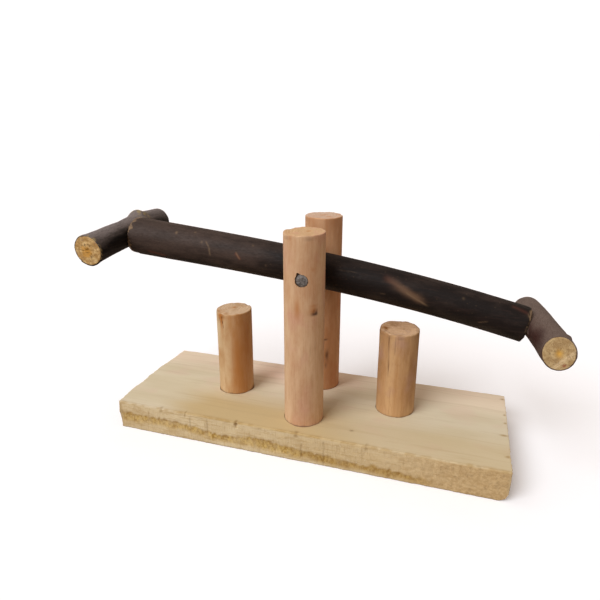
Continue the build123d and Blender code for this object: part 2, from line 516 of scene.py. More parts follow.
def sleeve(name, stick, inside_of, radius_of, lift_of):
    """Bark round a stick, open at both ends. radius_of and lift_of are as for log, without the centre.

    inside_of(places) adds to the radius of its hollow.
    """
    length = stick.length
    along = np.linspace(0, length, int(length / STICK_STEP))[1:-1]
    hidden = np.linspace(length, 0, int(length / HIDDEN_STEP / 3))
    rim = [(0.0, 0.5), (0.04, 0.22), (0.16, 0.06)]
    rows = rim + [(distance, 0.0) for distance in along]
    rows += [(length - distance, share) for distance, share in reversed(rim)]
    rows = np.array(rows + [(distance, 1.0) for distance in hidden])
    at, around = ring_grid(stick, 0.0, STICK_STEP, rows[:, 0])
    share = rows[:, 1, None]
    outside = stick.radius(at.distance) + radius_of(at)
    inside = stick.radius(at.distance) + inside_of(at)
    points = ring_points(at, outside * (1 - share) + inside * share, lift_of)
    return make_object(name, points, loops(len(rows), around, True))


# ---------------- materials

def tone(red, green, blue):
    """A colour given as 0 to 255 screen values."""
    values = [value / 255 for value in (red, green, blue)]
    return [v / 12.92 if v < 0.04045 else ((v + 0.055) / 1.055) ** 2.4 for v in values] + [1.0]


class Finish:
    """The nodes of one material. Each method adds nodes and gives back an output.

    A colour is such an output, or a (red, green, blue) of 0 to 255 screen values.
    """

    def __init__(self, name):
        self.material = bpy.data.materials.new(name)
        self.material.use_nodes = True
        self.tree = self.material.node_tree
        self.shader = self.tree.nodes["Principled BSDF"]
        self.position = self.add("TexCoord", {}, "Object")

    def feed(self, socket, value):
        if isinstance(value, bpy.types.NodeSocket):
            self.tree.links.new(value, socket)
        else:
            socket.default_value = value

    def add(self, kind, inputs, output=0, **settings):
        node = self.tree.nodes.new("ShaderNode" + kind)
        for name, value in settings.items():
            setattr(node, name, value)
        for key, value in inputs.items():
            self.feed(node.inputs[key], value)
        return node.outputs[output]

    def painted(self, name):
        return self.add("Attribute", {}, "Fac", attribute_name=name)

    def calc(self, operation, first, second=0.0, third=0.0):
        return self.add("Math", {0: first, 1: second, 2: third}, operation=operation)

    def weigh(self, first, first_share, second, second_share):
        products = [self.calc("MULTIPLY", *pair) for pair in ((first, first_share), (second, second_share))]
        return self.calc("ADD", *products)

    def step(self, value, low, high, to_low=0.0, to_high=1.0):
        """Soft step from to_low to to_high as value goes from low to high."""
        inputs = {"Value": value, "From Min": low, "From Max": high, "To Min": to_low, "To Max": to_high}
        return self.add("MapRange", inputs, interpolation_type="SMOOTHSTEP")

    def scaled(self, size):
        scale = [1 / (MM * width) for width in np.broadcast_to(size, 3).tolist()]
        return self.add("Mapping", {"Vector": self.position, "Scale": scale})

    def noise(self, size, detail=3.0, roughness=0.55, warp=0.0):
        """Noise from 0 to 1 whose blobs have this size in millimetres, or this one along x, y and z."""
        inputs = {"Vector": self.scaled(size), "Scale": 1.0, "Detail": detail, "Roughness": roughness}
        return self.add("TexNoise", {**inputs, "Distortion": warp})

    def cells(self, size):
        """Distance, 0 to about 1, to the nearest of scattered points this far apart in millimetres."""
        return self.add("TexVoronoi", {"Vector": self.scaled(size), "Scale": 1.0}, "Distance")

    def rings(self, centre, keep, spacing, wander):
        """Growth rings from 0 to 1 round a centre in millimetres. keep is how much each axis counts."""
        flat = self.add("VectorMath", {0: self.position, 1: keep}, operation="MULTIPLY")
        middle = [value * MM * kept for value, kept in zip(centre, keep)]
        away = self.add("VectorMath", {0: flat, 1: middle}, "Value", operation="DISTANCE")
        turns = self.calc("MULTIPLY", away, 2 * math.pi / (spacing * MM))
        wavy = self.calc("ADD", turns, self.calc("MULTIPLY", self.noise(5, 2), wander))
        return self.calc("MULTIPLY_ADD", self.calc("SINE", wavy), 0.5, 0.5)

    def mix(self, share, first, second, blend="MIX"):
        first, second = [tone(*colour) if isinstance(colour, tuple) else colour for colour in (first, second)]
        inputs = {0: share, 6: first, 7: second}
        return self.add("Mix", inputs, 2, data_type="RGBA", blend_type=blend)

    def coats(self, colour, *layers):
        """Lays colours over a colour, each (value, low, high, share, over): the share is 0 at low."""
        for value, low, high, share, over in layers:
            colour = self.mix(self.step(value, low, high, 0.0, share), colour, over)
        return colour

    def marks(self, colour, **overs):
        """Lays colours over a colour, each where the paint of its name is."""
        for name, over in overs.items():
            colour = self.mix(self.painted(name), colour, over)
        return colour

    def done(self, colour, roughness, height, depth, metal=0.0, shine=0.3):
        """Joins the shader up. height is 0 to 1, and depth is how many millimetres it stands for."""
        bump = self.add("Bump", {"Strength": 1.0, "Distance": depth * MM, "Height": height}, "Normal")
        inputs = {"Base Color": colour, "Roughness": roughness, "Normal": bump, "Metallic": metal}
        for name, value in {**inputs, "Specular IOR Level": shine}.items():
            self.feed(self.shader.inputs[name], value)
        return self.material


def dowel_finish(name, centre, ring_shape, light, dark, tint, stain, end_light, end_dark):
    """Peeled round wood: lengthwise grain and flecks on its side, growth rings on its ends."""
    finish = Finish(name)
    blotch = finish.noise((7, 7, 26), 2)
    blush = finish.noise((11, 11, 15), 2)
    grain = finish.noise((0.9, 0.9, 22), 4, 0.6, 0.3)
    fibre = finish.noise((0.28, 0.28, 7), 3, 0.6)
    mottle = finish.noise((1.1, 1.1, 3.2), 5, 0.7)
    rings = finish.rings(centre, ring_shape, 1.25, 11.0)
    pores = finish.noise(0.35, 3, 0.65)
    clouds = finish.noise(4, 2)
    side = finish.coats(light, (blotch, 0.36, 0.66, 1, dark), (blush, 0.5, 0.72, 0.75, tint))
    side = finish.mix(finish.step(grain, 0.52, 0.74, 0, 0.22), side, dark, "MULTIPLY")
    side = finish.coats(side, (mottle, 0.46, 0.7, 0.2, stain), (mottle, 0.5, 0.3, 0.3, light),
                        (fibre, 0.52, 0.74, 0.3, stain))
    end = finish.coats(end_light, (rings, 0.3, 0.95, 0.5, end_dark), (pores, 0.5, 0.7, 0.45, end_dark),
                       (clouds, 0.5, 0.7, 0.5, tint))
    end = finish.marks(end, pith=stain)
    # dark carries painted shade at the foot and inside the holes, as well as real dark marks
    colour = finish.marks(side, end=end, stain=stain, dark=(58, 36, 24))
    roughness = finish.step(grain, 0.3, 0.7, 0.62, 0.78)
    return finish.done(colour, roughness, finish.weigh(fibre, 0.6, pores, 0.4), 0.10)


def bark_finish(name, long_axis, dark, light, warm, torn):
    """Bark with lengthwise streaks, small pale pores, and torn pale fibres where it is painted."""
    finish = Finish(name)

    def size(along, across):
        return [along if axis == long_axis else across for axis in range(3)]

    blotch = finish.noise(size(16, 5), 3, 0.6)
    streak = finish.noise(size(14, 0.8), 4, 0.62, 0.4)
    fine = finish.noise(size(1.6, 0.35), 4, 0.65)
    pores = finish.cells(size(2.9, 2.1))
    # The painted tone carries the bark's own lighter patches, and painted highlights and shade on its lit and
    # shaded sides
    share = finish.calc("ADD", finish.painted("tone"), finish.step(blotch, 0.3, 0.7, -0.22, 0.22))
    colour = finish.coats(dark, (share, 0.0, 1.0, 1, light), (streak, 0.5, 0.75, 0.45, warm),
                          (fine, 0.45, 0.7, 0.35, dark), (pores, 0.17, 0.08, 0.07, torn))
    # dark is real dark rims and patches, and painted shade inside the beam's bark and on the left crossbar's
    # underside
    colour = finish.marks(colour, red=(112, 62, 48), torn=torn, dark=(16, 12, 11))
    roughness = finish.step(fine, 0.3, 0.7, 0.45, 0.65)
    return finish.done(colour, roughness, finish.weigh(streak, 0.5, fine, 0.5), 0.16, shine=0.12)


def cut_finish(name, centre, light, dark, pith):
    """Raw wood of a natural stick, with pores, and rings round a centre."""
    finish = Finish(name)
    rings = finish.rings(tuple(centre), (1, 0, 1), 1.7, 6.0)
    pores = finish.noise(0.3, 4, 0.7)
    patches = finish.noise(2.4, 3, 0.6)
    colour = finish.coats(light, (patches, 0.35, 0.65, 1, dark), (rings, 0.4, 1.0, 0.35, dark),
                          (pores, 0.5, 0.66, 0.6, (120, 86, 50)))
    # dark is real pores and chips on the crossbars, and painted shade in the beam's bore
    colour = finish.marks(colour, pith=pith, pale=(216, 190, 150), red=(140, 62, 40), dark=(70, 44, 26))
    return finish.done(colour, 0.8, pores, 0.14)


def board_finish():
    """Planed top with faint lengthwise grain, and rough-sawn sides with an ochre band."""
    finish = Finish("board")
    long_grain = finish.noise((46, 1.8, 1.8), 4, 0.6, 0.5)
    waves = finish.noise((38, 11, 11), 2, 0.5, 0.3)
    blush = finish.noise((20, 14, 14), 2)
    flecks = finish.noise((4.5, 0.35, 0.35), 3, 0.6)
    saw = finish.noise((0.45, 0.45, 6), 4, 0.65)
    grit = finish.noise(0.7, 4, 0.7)
    crumbs = finish.noise((1.6, 1.2, 1.1), 5, 0.75)
    drifts = finish.noise((9, 1.2, 1.0), 4, 0.65, 0.5)
    blots = finish.noise((1.1, 0.9, 1.6), 4, 0.7)
    top = finish.coats((214, 201, 173), (waves, 0.35, 0.65, 1, (208, 194, 163)),
                       (blush, 0.5, 0.68, 0.5, (212, 188, 164)))
    # pale is painted light: a pinkish lighter patch over the left peg's cast shadow, and a lighter back
    top = finish.marks(top, yellow=(198, 174, 128), pale=(252, 226, 204))
    top = finish.coats(top, (long_grain, 0.5, 0.7, 0.25, (178, 152, 112)),
                       (flecks, 0.58, 0.78, 0.15, (160, 130, 92)))
    side = finish.coats((222, 202, 162), (waves, 0.35, 0.65, 1, (212, 188, 144)),
                        (drifts, 0.46, 0.68, 0.6, (184, 152, 100)), (saw, 0.5, 0.72, 0.5, (172, 140, 94)),
                        (grit, 0.55, 0.7, 0.6, (230, 214, 182)))
    tan = finish.coats((184, 150, 100), (crumbs, 0.36, 0.64, 1, (212, 182, 134)))
    ochre = finish.coats((212, 180, 108), (blots, 0.42, 0.58, 1, (172, 134, 66)),
                         (grit, 0.58, 0.7, 0.6, (112, 82, 42)))
    side = finish.marks(side, tan=tan, ochre=ochre, umber=(150, 110, 50))
    end = finish.mix(grit, (176, 148, 104), (206, 182, 140))
    # dark carries painted shade in the sockets and along the foot of the front face, as well as real marks
    colour = finish.marks(top, side=side, end=end, stain=(176, 138, 70), dark=(96, 60, 26))
    planed = finish.calc("MULTIPLY", finish.calc("ADD", flecks, long_grain), 0.5)
    sawn = finish.calc("MULTIPLY", finish.calc("ADD", saw, grit), 0.5)
    rise = finish.calc("MULTIPLY", finish.painted("side"), finish.calc("MULTIPLY", sawn, 3.0))
    return finish.done(colour, 0.82, finish.calc("ADD", planed, rise), 0.10)


def steel_finish():
    """Dull wire-nail steel with dark stains."""
    finish = Finish("steel")
    stains = finish.noise(1.3, 4, 0.65)
    scratches = finish.noise((0.25, 0.25, 1.6), 4, 0.7)
    colour = finish.coats((150, 147, 144), (stains, 0.35, 0.7, 1, (92, 86, 82)),
                          (scratches, 0.6, 0.8, 0.6, (168, 164, 160)))
    roughness = finish.step(stains, 0.3, 0.7, 0.42, 0.62)
    return finish.done(colour, roughness, finish.weigh(stains, 0.7, scratches, 0.3), 0.12, metal=0.7)


# ---------------- places read from the frame

# Stretches of the beam and of a crossbar with a bore or a flat, where their round isn't read
BORED_STRETCH = (-14, 18)
FLAT_STRETCH = (-12, 15)
# How far out a ray towards a nail's head starts
OUTSIDE = 40
BOARD_LOW, BOARD_HIGH = corners("baseboard")
FRONT, REAR, TOP = BOARD_LOW[1], BOARD_HIGH[1], BOARD_HIGH[2]
low, high = corners("pivot_nail")
pivot = Nail("pivot_nail", np.array([(low[0] + high[0]) / 2, low[1] - 20, (low[2] + high[2]) / 2]), BACK)
BORE = turned(pivot.head - pivot.along, pivot.along, [(0, BORE_RADIUS), (pivot.length, BORE_RADIUS)])

beam, beam_bark = read_natural_stick("beam", 0, 4, BORED_STRETCH, False)
dowels = {name: read_dowel(name) for name in ("front_post", "rear_post", "left_peg", "right_peg")}
foot_nails = {name: Nail("foot_nails", dowels[name].start * [1, 1, 0] - UP * 20, UP) for name in dowels}


class Bar:
    """A crossbar, where and in which direction the beam's end butts against it, and the nail there."""

    def __init__(self, side, end):
        self.side = side
        self.stick, self.bark = read_natural_stick(f"{side}_crossbar", 1, 2, FLAT_STRETCH, True)
        self.butt = beam.centre(end * beam.length)
        self.outwards = beam.squares[end] * (1 if end else -1)
        self.nail = Nail("crossbar_nails", self.butt + self.outwards * OUTSIDE, -self.outwards)


left_bar, right_bar = Bar("left", 0), Bar("right", 1)


# ---------------- baseboard

# Front face: places along the board, top and bottom of the ochre band there, and where it fades out
OCHRE_X = (-88, -62, -48, -34, -20, -4, 12, 40, 56)
OCHRE_TOP = (8.2, 8.5, 7.2, 5.4, 7.5, 6.2, 4.8, 4.2, 3.2)
OCHRE_BOTTOM = (4.2, 4.8, 4.4, 2.6, 2.6, 2.1, 1.7, 1.3, 1.0)
OCHRE_FADE = (44, 66)
# Chips in the front top edge: (x, half-length, depth)
CHIPS = ((-65, 1.6, 0.9), (-58, 1.6, 0.5), (-52.3, 0.6, 1.0), (-46.5, 1.2, 0.6), (-27, 0.7, 1.3),
         (-12, 3.0, 0.5), (1.4, 1.7, 1.0), (14, 1.6, 0.5), (32, 0.8, 1.0), (39, 0.6, 0.8), (47, 2.5, 0.5),
         (66, 3.5, 0.6))
# Upright saw lines on the front face: (x, lowest z, highest z, darkness)
SAW_LINES = ((-49.7, 5, 13, 0.35), (-41, 4, 13, 0.3), (-23.5, 3, 7, 0.3), (-20.3, 4.5, 7.5, 0.4),
             (-17.8, 3, 6.5, 0.3), (-13.6, 4, 8, 0.5), (-10.4, 3, 6.5, 0.3), (3.7, 2, 8.5, 0.6),
             (14, 0.5, 12, 0.6), (24.5, 1.5, 7, 0.3), (32.2, 11.2, 13, 0.8), (47, 8, 12, 0.3))
# Notch in the front face: (x, z)
NOTCH = (-26.6, 12.4)
# Marks on the top near its right end, (x, y, half-length), and a dark speck on the top
END_MARKS = ((86.2, -5.4, 1.5), (87.0, -20.9, 0.9), (87.3, 12.1, 0.5), (87.2, 4.9, 0.6), (87.0, 27.0, 0.8))
SPECK = (23.7, -21.6)
HALF_LENGTH = BOARD_HIGH[0]
LEFT_BOW = -BOARD_LOW[0] - HALF_LENGTH
LEFT_LEAN = 1.0
LOWER_ROUND = 5.0


def graded(first, last):
    """Grid places from first to last, closer together near both."""
    near = BOARD_EDGE_STEP * np.array([0, 1, 2, 3.2, 4.8])
    edge = BOARD_EDGE_STEP * 7
    middle = np.linspace(first + edge, last - edge, int((last - first - 2 * edge) / BOARD_STEP))
    return np.concatenate([first + near, middle, last - near[::-1]])


def block(*places):
    """Points and faces of a box whose surface is a grid through the given x, y and z places."""
    grid = np.stack(np.meshgrid(*places, indexing="ij"), axis=-1)
    shell = np.ones(grid.shape[:3], bool)
    shell[1:-1, 1:-1, 1:-1] = False
    number = np.cumsum(shell).reshape(shell.shape) - 1
    faces = []
    for axis in range(3):
        sheets = np.moveaxis(number, axis, 0)
        for sheet, last in ((sheets[0], False), (sheets[-1], True)):
            quads = [sheet[:-1, :-1], sheet[1:, :-1], sheet[1:, 1:], sheet[:-1, 1:]]
            quads = np.stack(quads, -1).reshape(-1, 4)
            faces += (quads if last != (axis == 1) else quads[:, ::-1]).tolist()
    return grid[shell], faces


def ochre_band(x, z):
    """How far a place on the front face is inside the ochre band, and how near it is to the band's top."""
    points = np.stack([x, z, 0 * x], axis=-1)
    top = np.interp(x, OCHRE_X, OCHRE_TOP) + 0.45 * rough(points, (5, 3, 1), 41)
    top = top + 0.7 * noise(points, (1.1, 20, 1), 67)
    bottom = np.interp(x, OCHRE_X, OCHRE_BOTTOM) + 0.6 * rough(points, (6, 4, 1), 42, 4)
    fade = smooth(OCHRE_FADE[1], OCHRE_FADE[0], x)
    inside = smooth(top + 0.4, top - 0.5, z) * smooth(bottom - 1.6, bottom + 1.2, z)
    return inside * fade, bell(z - top + 0.4, 0.8) * fade


def edge_chips(x):
    """How deep the front top edge is chipped at x."""
    depth = 0.3 + 0.18 * rough(np.stack([x, 0 * x, 0 * x], -1), (2.4, 1, 1), 43)
    chips = [deep * bell(x - centre, half) for centre, half, deep in CHIPS]
    return np.clip(most(depth, *chips), 0.1, 1.4)


def saw_lines(x, z):
    """1 in the upright saw lines of the front face."""
    total = np.zeros(len(x))
    wander = 0.25 * noise(np.stack([x, z, 0 * x], -1), (9, 3, 1), 44)
    for centre, bottom, top, darkness in SAW_LINES:
        ends = smooth(bottom - 0.6, bottom + 0.6, z) * smooth(top + 0.6, top - 0.6, z)
        total = most(total, darkness * bell(x - centre - wander, 0.22) * ends)
    return total


def round_edges(points, radius):
    """Pulls the corners of a box in to an edge radius that may differ from point to point."""
    inner = np.clip(points, points.min(axis=0) + radius[:, None], points.max(axis=0) - radius[:, None])
    out = points - inner
    reach = most(np.linalg.norm(out, axis=-1), radius)
    return inner + out * (radius / reach)[:, None]


def round_lower_corner(points):
    """Rounds the lower edge of the board's right end."""
    corner = np.stack([points[:, 0] - (HALF_LENGTH - LOWER_ROUND), LOWER_ROUND - points[:, 2]], axis=-1)
    reach = np.maximum(np.linalg.norm(corner, axis=-1), LOWER_ROUND)
    pull = np.where((corner > 0).all(axis=-1), LOWER_ROUND / reach - 1, 0.0)
    points[:, 0] += corner[:, 0] * pull
    points[:, 2] -= corner[:, 1] * pull


def shape_board(points):
    """The board's real surface, from points on a plain box. Its sawn faces move inwards only."""
    x, y, z = points.T
    front, behind = smooth(FRONT + 2.5, FRONT, y), smooth(REAR - 3, REAR, y)
    left, right = smooth(-HALF_LENGTH + 7, -HALF_LENGTH, x), smooth(HALF_LENGTH - 4, HALF_LENGTH, x)
    above = smooth(TOP - 4, TOP, z)
    wear = 0.3 + 0.12 * rough(points, 5, 45)
    shaped = round_edges(points, most(wear, edge_chips(x) * front * above))
    round_lower_corner(shaped)
    sawn = 0.12 * rough(points, (0.9, 60, 9), 46) + 0.14 * rough(points, (4, 60, 4), 47)
    sawn = sawn + 0.2 * ochre_band(x, z)[0] * (0.6 + 0.6 * noise(points, (0.8, 60, 2.5), 48))
    sawn = sawn + 0.4 * saw_lines(x, z) + 0.12 + 0.7 * bell(x - NOTCH[0], 0.6) * bell(z - NOTCH[1], 1.2)
    shaped[:, 1] += front * np.clip(sawn, 0, None)
    shaped[:, 1] -= behind * np.clip(0.1 + 0.2 * rough(points, (5, 60, 5), 49), 0, None)
    ragged = 0.1 + 0.4 * noise(points, (60, 9, 16), 50) + 0.42 * rough(points, (60, 3.4, 5), 51, 4)
    bow = LEFT_BOW * (1 - (y / REAR) ** 2)
    shaped[:, 0] += left * (ragged - bow + LEFT_LEAN * smooth(9, 0, z))
    shaped[:, 0] -= right * (0.05 + 0.2 * rough(points, (60, 2.2, 4), 52))
    level = 0.03 * noise(points, (40, 2.2, 9), 53) + 0.05 * noise(points, (30, 18, 9), 54)
    shaped[:, 2] -= above * (0.04 + level)
    return shaped


def socket(stick):
    """Shape of the socket a dowel stands in, with a torn mouth."""
    radius = stick.radius(0.0)
    depth = TOP - stick.start[2]

    def torn(ring, angle):
        around = disc(angle, 1.0, stick.start[0])
        return (0.03 + 0.36 * np.clip(rough(around, (0.5, 0.5, 1), 61), -0.1, 1)) * (ring >= 2)

    steps = ((0, 0.1), (depth - 0.9, 0.1), (depth - 0.1, 0.12), (depth + 1, 0.2))
    return turned(stick.start, UP, [(distance, radius + gap) for distance, gap in steps], 96, torn)


def paint_board(board):
    points = points_of(board)
    x, y, z = points.T
    front = smooth(FRONT + 1.1, FRONT + 0.75, y)
    below = smooth(TOP - 0.35, TOP - 0.8, z)
    sides = most(front, smooth(REAR - 1.1, REAR - 0.75, y)) * below
    left = smooth(-HALF_LENGTH + 2.2, -HALF_LENGTH + 1.2, x)
    right = smooth(HALF_LENGTH - 1.2, HALF_LENGTH - 0.5, x)
    # sockets is painted shade inside the socket mouths round the dowels' feet
    beyond = [np.hypot(x - s.start[0], y - s.start[1]) - s.radius(0.0) for s in dowels.values()]
    sockets = smooth(0.6, 0.0, np.minimum.reduce(beyond)) * smooth(TOP - 0.15, TOP - 0.6, z)
    # The front top arris is darkened and browned: real dirt smudges, and painted shade over the highlight the
    # rounded edge would catch
    edge = bell(z - TOP + 0.3, 0.45) * smooth(FRONT + 2.0, FRONT + 0.7, y)
    edge_dirt_and_shade = edge * (0.3 + 0.7 * smooth(-0.4, 0.6, rough(points, 2.2, 62, 4)))
    chip = smooth(0.55, 1.1, edge_chips(x))
    chip = chip * smooth(FRONT + 2.6, FRONT + 1.2, y) * smooth(TOP - 2.6, TOP - 1.2, z)
    notch = bell(x - NOTCH[0] - 0.25 * (z - NOTCH[1]), 0.4) * bell(z - NOTCH[1], 1.1) * front
    dots = smooth(0.35, 0.9, rough(points, 0.9, 63)) * smooth(25, 75, x) * front
    marks = most(*[blot(x, y, at, (size, 0.6)) for *at, size in END_MARKS])
    marks = marks * smooth(TOP - 3.0, TOP - 1.0, z)
    speck = blot(x, y, SPECK, (0.8, 0.5)) * (1 - below)
    band, band_top = ochre_band(x, z)
    umber = band_top * smooth(-0.3, 0.8, rough(points, (1.8, 9, 2.0), 66))
    drift = 6 * noise(points, (30, 6, 9), 65)
    yellow = smooth(0, -20, y + drift) * smooth(-70, -45, x + drift) * (1 - 0.5 * smooth(0, 40, x + drift))
    paint(
        board, yellow=yellow,
        side=sides + (z < BOARD_LOW[2] + 0.2),
        end=most(left, right) * below,
        ochre=band * front * (0.75 + 0.3 * rough(points, (1.6, 9, 2.4), 64)),
        umber=0.75 * most(umber, 0.5 * band * smooth(-8, 10, x)) * front,
        tan=smooth(20, 70, x) * front * 0.8,
        # pale: painted light lifting the left peg's cast shadow behind it, and the top lighter towards the
        # back
        pale=0.8 * blot(x, y, (-18, 22), (22, 14)) + 0.4 * smooth(4, 26, y + drift),
        dark=most(0.1 * edge_dirt_and_shade, 0.4 * chip, 0.75 * notch, 0.8 * saw_lines(x, z) * front, 0.65 * sockets,
                  # 0.45 at the bottom of the front face is painted shade where the board meets the floor
                  0.45 * smooth(0.7, 0.1, z) * front, 0.25 * dots, 0.7 * speck, 0.3 * marks),
        stain=most(0.75 * marks, 0.55 * edge_dirt_and_shade, 0.5 * chip),
    )


def make_board():
    points, faces = block(*map(graded, (-HALF_LENGTH, *BOARD_LOW[1:]), BOARD_HIGH))
    board = make_object("baseboard_wood", shape_board(points), faces)
    cut(board, *[socket(stick) for stick in dowels.values()])
    cut(board, *[nail.hole() for nail in foot_nails.values()])
    paint_board(board)
    finish_piece(board, "stand", "board_wood", board_finish(), "baseboard")


# ---------------- upright dowels

def dowel(name, seed, tones, slant, grooves, pith, rim_chips, browns, pith_size=0.9, dish=0.0, dents=(),
          stains=(), darks=(), cracks=(), ring_shape=(1, 1, 0), holes=()):
    """A peeled dowel.

    dents, stains and darks are (place, size, amount), and cracks are (first, last, width, amount). slant is
    the tilt of the top cut along x and y, dish is how hollow it is, and rim_chips are (angle, width in
    degrees, depth). pith is where the rings' centre is, from the dowel's own axis, and browns are brown
    patches of the top, (x, y, size, amount) from that axis.
    """
    stick = dowels[name]
    radius, top = stick.radius(0.0), stick.length

    def radius_of(at):
        out = 0.07 * at.noise((9, 9, 40), seed) + grooves * at.rough((1.4, 1.4, 26), seed + 1)
        out = out + 0.012 * at.noise((0.8, 0.8, 2.5), seed + 2) + 0.03
        out = out - at.spots(dents) - 0.5 * sum(at.lines(cracks))
        for turn, width, depth in rim_chips:
            out = out - 0.6 * depth * bell(at.turn(turn), width) * smooth(top - depth - 0.6, top, at.distance)
        return out * smooth(0.0, 7.5, at.distance)

    def lift_of(end, angle, out):
        at = disc(angle, out)
        rise = at[..., 0] * slant[0] + at[..., 1] * slant[1]
        rise = rise + 0.10 * rough(at, (0.9, 6, 1), seed + 3) + 0.10 * rough(at, (2.5, 2.5, 1), seed + 4)
        rise = rise - dish * smooth(radius - 0.7, radius - 4.0, out)
        rim = smooth(radius - 2.2, radius - 0.4, out)
        for turn, width, depth in rim_chips:
            rise = rise - depth * bell(turn_from(angle, turn), width) * rim
        return rise * end

    made = log(f"{name}_wood", stick, DOWEL_SIDE_STEP, 0.0, radius_of, lift_of)
    cut(made, foot_nails[name].hole(run_out=15), *holes)
    points = points_of(made)
    at, out = stick.locate(points)
    capped = most(smooth(1.2, 0.8, at.distance), smooth(top - 2.4, top - 2.0, at.distance))
    end = smooth(radius - 0.25, radius - 0.6, out) * capped
    # bore is painted shade on the inner walls of the holes cut into the dowel
    bore = smooth(radius - 0.25, radius - 0.6, out) * (1 - capped)
    chipped = most(*[bell(at.turn(turn), width) for turn, width, _ in rim_chips])
    chipped = chipped * smooth(radius - 1.6, radius - 0.6, out) * capped * (at.distance > 9)
    # foot is painted shade round the dowel's foot, where it stands in the board
    foot = smooth(0.55, 0.0, at.row - TOP + 0.4 * rough(points, (1.6, 1.6, 9), seed + 5))
    dark = most(at.spots(darks), *at.lines(cracks), 0.22 * chipped, 0.48 * foot)
    x, y = points[:, 0] - stick.start[0], points[:, 1] - stick.start[1]
    patchy = smooth(-0.7, 0.5, rough(points, (1.8, 1.8, 9), seed + 6))
    brown = 0.9 * bell(np.hypot(x - pith[0], y - pith[1]), pith_size)
    for mid_x, mid_y, size, amount in browns:
        brown = most(brown, amount * bell(np.hypot(x - mid_x, y - mid_y), size) * patchy)
    paint(made, end=end, stain=at.spots(stains) * (1 - end), pith=brown * capped,
          dark=most(dark * (1 - 0.7 * end), 0.85 * bore))
    centre = (stick.start[0] + pith[0], stick.start[1] + pith[1], 0.0)
    finish_piece(made, "stand", "dowel_wood", dowel_finish(name, centre, ring_shape, *tones), name)


def ragged_mouth(ring, angle):
    """Torn mouth of the pivot nail's hole in the front post, with a notch at its upper left."""
    notch = bell(np.radians(turn_from(angle, 245)), 0.26)
    return (0.12 * rough(disc(angle, 1.0), (0.6, 0.6, 1), 71) + 0.95 * notch) * (ring <= 1)


def make_front_post():
    dowel(
        "front_post", 101, slant=(0.012, 0.035), grooves=0.025, pith=(1.5, 1.0),
        tones=((213, 178, 140), (197, 155, 118), (202, 153, 126), (178, 114, 60),
               (206, 170, 128), (188, 146, 100)),
        dents=[((66.4, -42), (1.2, 1.3), 0.45), ((67.2, -48), (0.8, 0.9), -0.2)],
        stains=[((68.3, -92), (4.6, 1.2), 0.75), ((67.2, -47), (1.7, 1.9), 0.8),
                ((84.6, -50), (0.9, 0.9), 0.45), ((75, -120), (6, 1.2), 0.25),
                ((97, -112), (1.2, 0.6), 0.4), ((69.5, -47), (0.5, 1.6), 0.5)],
        darks=[((65.6, -43), (0.6, 1.4), 0.95), ((66.4, -36), (1.1, 0.5), 0.7),
               ((49, -55), (2.2, 0.35), 0.12), ((47, -78), (3.0, 0.3), 0.1), ((51, -40), (2.5, 0.3), 0.1)],
        rim_chips=[(-128, 9, 0.3), (-60, 12, 0.15), (150, 15, 0.25)],
        browns=[(-4.5, -2.5, 2.2, 0.4), (3.5, -4.0, 2.0, 0.3)],
        holes=[pivot.hole(head_gap=PIVOT_HEAD_GAP, wobble=ragged_mouth)],
    )


def make_rear_post():
    dowel(
        "rear_post", 201, slant=(-0.01, 0.018), grooves=0.03, pith=(-1.0, 0.5),
        tones=((208, 162, 122), (188, 138, 98), (190, 128, 88), (190, 124, 66),
               (206, 178, 154), (190, 154, 126)),
        dents=[((40.7, -64), (0.5, 1.0), 0.35), ((32, -58), (1.6, 1.0), 0.3)],
        stains=[((34, -40), (16, 7), 0.25), ((64, -40), (10, 3), 0.3)],
        darks=[((40.7, -64), (0.4, 1.1), 0.85), ((32.5, -58), (2.6, 0.9), 0.7), ((27, -62), (1.5, 0.6), 0.4)],
        rim_chips=[(-150, 14, 0.2), (30, 10, 0.2)],
        browns=[(3.0, -3.0, 2.5, 0.3)],
        holes=[pivot.hole(head_gap=PIVOT_HEAD_GAP)],
    )


def make_left_peg():
    dowel(
        "left_peg", 301, slant=(0.02, 0.04), grooves=0.04, pith=(-0.5, 1.6), pith_size=1.3,
        tones=((212, 186, 146), (188, 146, 100), (184, 140, 92), (176, 114, 54),
               (218, 186, 150), (196, 160, 124)),
        # The broad stain at (34, -25), on the side turned from the light, is brown stain and painted shade
        stains=[((51.0, -112), (3.0, 0.9), 0.8), ((46, -110), (4, 0.8), 0.3), ((53.5, -116), (1.9, 2.4), 0.9),
                ((53.5, -84), (1.4, 2.4), 0.25), ((34, -25), (40, 7.5), 0.7), ((32, -64), (24, 3.0), 0.5)],
        cracks=[((53.6, -110), (49.6, -106), 0.2, 0.8), ((50.6, -106), (47.6, -104), 0.18, 0.6),
                ((52.6, -122), (50.0, -117), 0.2, 0.5)],
        rim_chips=[(-104, 7, 0.35), (-150, 12, 0.25), (60, 10, 0.2)],
        browns=[(-6.0, -4.8, 2.2, 0.85), (-1.0, -6.6, 1.6, 0.4), (-0.5, 1.6, 2.8, 0.35)],
    )


